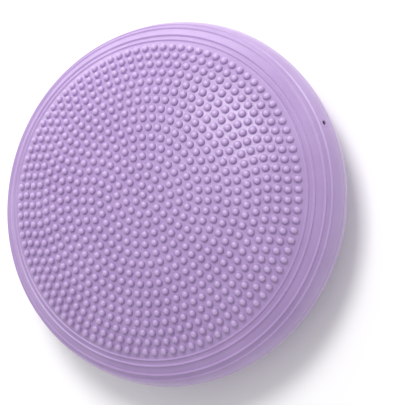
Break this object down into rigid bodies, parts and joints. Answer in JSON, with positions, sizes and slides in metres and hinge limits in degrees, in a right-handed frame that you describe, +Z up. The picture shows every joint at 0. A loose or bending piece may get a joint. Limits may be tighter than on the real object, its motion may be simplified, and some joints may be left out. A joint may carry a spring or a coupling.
{
  "type": "wobble cushion",
  "caption": "Inflated round balance cushion with massage nubs on a domed top, ridges around its shoulder, and a needle valve in the side wall.",
  "frame": {"origin": "centre of the flat patch under the cushion, on the floor it rests on", "axes": "+Z up along the cushion's axis of symmetry, +X out through the needle valve in the side wall"},
  "size_m": [0.33, 0.33, 0.1075],
  "materials": {
    "skin": "satin lavender soft PVC",
    "valve_pvc": "satin lavender PVC, a little firmer than the skin",
    "core_rubber": "matt black self-sealing rubber"
  },
  "bodies": {
    "base": {"underside_shell": "skin", "lower_wall": "skin"},
    "waist": {"valve_band": "skin", "upper_wall": "skin", "valve_housing": "valve_pvc", "valve_core": "core_rubber"},
    "rim": {"shoulder_ring": "skin", "crown_surround": "skin"},
    "crown": {"crown_skin": "skin"}
  },
  "joints": [
    {"name": "wobble_sideways", "type": "hinge", "parent": "base", "child": "waist", "pos_m": [0, 0, 0.031], "axis": [1, 0, 0], "range_deg": [-5, 5], "stiffness_Nm_per_rad": 250, "deforming": ["lower_wall"]},
    {"name": "wobble_valve_end", "type": "hinge", "parent": "waist", "child": "rim", "pos_m": [0, 0, 0.071], "axis": [0, 1, 0], "range_deg": [-5, 5], "stiffness_Nm_per_rad": 250, "deforming": ["upper_wall"]},
    {"name": "crown_press", "type": "slide", "parent": "rim", "child": "crown", "axis": [0, 0, -1], "range_m": [0, 0.015], "stiffness_N_per_m": 20000, "deforming": ["crown_surround"]}
  ]
}
